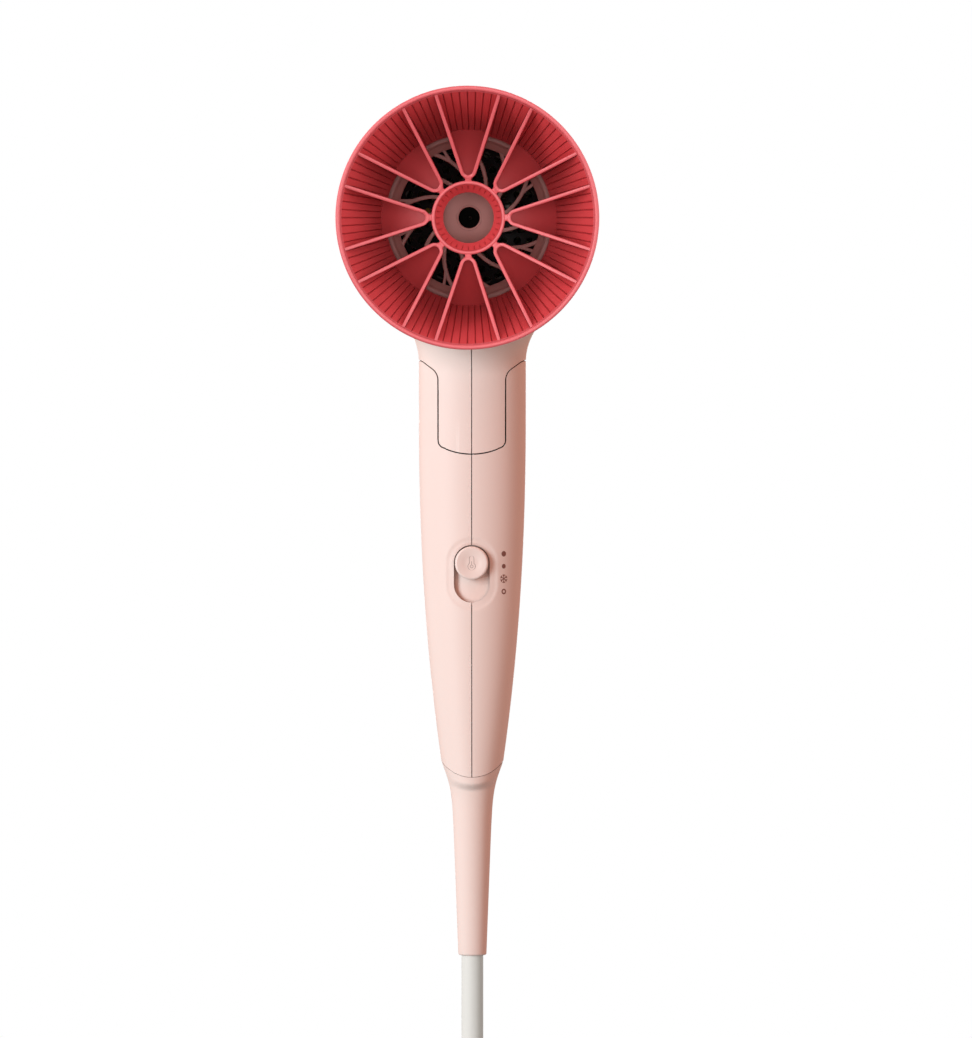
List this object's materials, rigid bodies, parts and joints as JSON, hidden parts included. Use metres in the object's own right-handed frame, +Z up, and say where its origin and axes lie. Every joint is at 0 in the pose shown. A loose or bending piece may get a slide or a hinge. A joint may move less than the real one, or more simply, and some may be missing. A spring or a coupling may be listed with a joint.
{
  "type": "folding hair dryer",
  "caption": "Folding hair dryer with a finned round diffuser, a tapered handle with a sliding heat button, and a corded plug on a tied hank of lead.",
  "frame": {"origin": "middle of the grip, on the handle's own centre line, where a hand or a holder takes it", "axes": "+Z up the handle to the head, -Y out of the air outlet, +X to the right seen from the front"},
  "size_m": [0.089, 0.1415, 0.5906],
  "materials": {
    "pink_shell": "fine matt moulded ABS, blush pink",
    "pink_button": "satin moulded ABS, blush pink",
    "pink_rubber": "soft matt elastomer, blush pink",
    "coral_plastic": "satin moulded polycarbonate, coral red",
    "mauve_plastic": "satin moulded heat-resistant nylon, dusty mauve",
    "cord_jacket": "matt PVC jacket, pale warm grey",
    "plug_plastic": "matt moulded PVC, pale warm grey",
    "plated_pins": "nickel plate",
    "earth_brass": "bare spring brass",
    "tie_strap": "woven hook-and-loop strap",
    "steel": "turned steel",
    "nylon": "natural glass-filled nylon",
    "black_plastic": "black moulded plastic",
    "circuit_board": "green solder mask",
    "filter_mesh": "fine etched steel mesh",
    "black_rubber": "soft black rubber",
    "mica": "pressed mica sheet",
    "heating_wire": "oxidised resistance wire"
  },
  "bodies": {
    "handle": {"handle_left": "pink_shell", "handle_right": "pink_shell", "pivot_screw": "steel", "pivot_cap": "pink_shell", "hinge_washers": "nylon", "handle_screw": "steel", "screw_plug": "pink_shell", "switch_body": "black_plastic", "control_board": "circuit_board", "board_parts": "black_plastic", "ion_module": "black_plastic", "cord_clamp": "nylon", "inner_lead": "cord_jacket", "strain_relief": "pink_rubber", "cord": "cord_jacket", "cord_hank": "cord_jacket", "cord_tail": "cord_jacket", "cord_tie": "tie_strap", "plug_body": "plug_plastic", "plug_pins": "plated_pins", "plug_earth": "earth_brass"},
    "head": {"head_left": "pink_shell", "head_right": "pink_shell", "rear_cover": "pink_shell", "intake_filter": "filter_mesh", "fan_duct": "nylon", "motor_case": "steel", "motor_cap": "nylon", "motor_mount": "black_rubber", "motor_bearings": "steel", "heater_sleeve": "mica", "heater_board_flat": "mica", "heater_board_upright": "mica", "heater_coil": "heating_wire", "thermostat": "steel", "thermal_fuse": "earth_brass", "ion_nozzle": "black_plastic", "ion_needle": "steel", "outlet_screen": "black_plastic", "outlet_grille": "mauve_plastic"},
    "rotor": {"impeller": "nylon", "motor_shaft": "steel"},
    "slider": {"heat_button": "pink_button", "slot_shutter": "pink_button"},
    "diffuser": {"diffuser": "coral_plastic"}
  },
  "joints": [
    {"name": "handle_fold", "type": "hinge", "parent": "handle", "child": "head", "pos_m": [0, 0, 0.075], "axis": [1, 0, 0], "range_deg": [0, 90]},
    {"name": "heat_slide", "type": "slide", "parent": "handle", "child": "slider", "axis": [0, 0, -1], "range_m": [0, 0.0075]},
    {"name": "fan_spin", "type": "hinge", "parent": "head", "child": "rotor", "pos_m": [0, 0, 0.1423], "axis": [0, -1, 0], "continuous": true},
    {"name": "diffuser_turn", "type": "hinge", "parent": "head", "child": "diffuser", "pos_m": [0, -0.061, 0.1423], "axis": [0, -1, 0], "continuous": true}
  ]
}
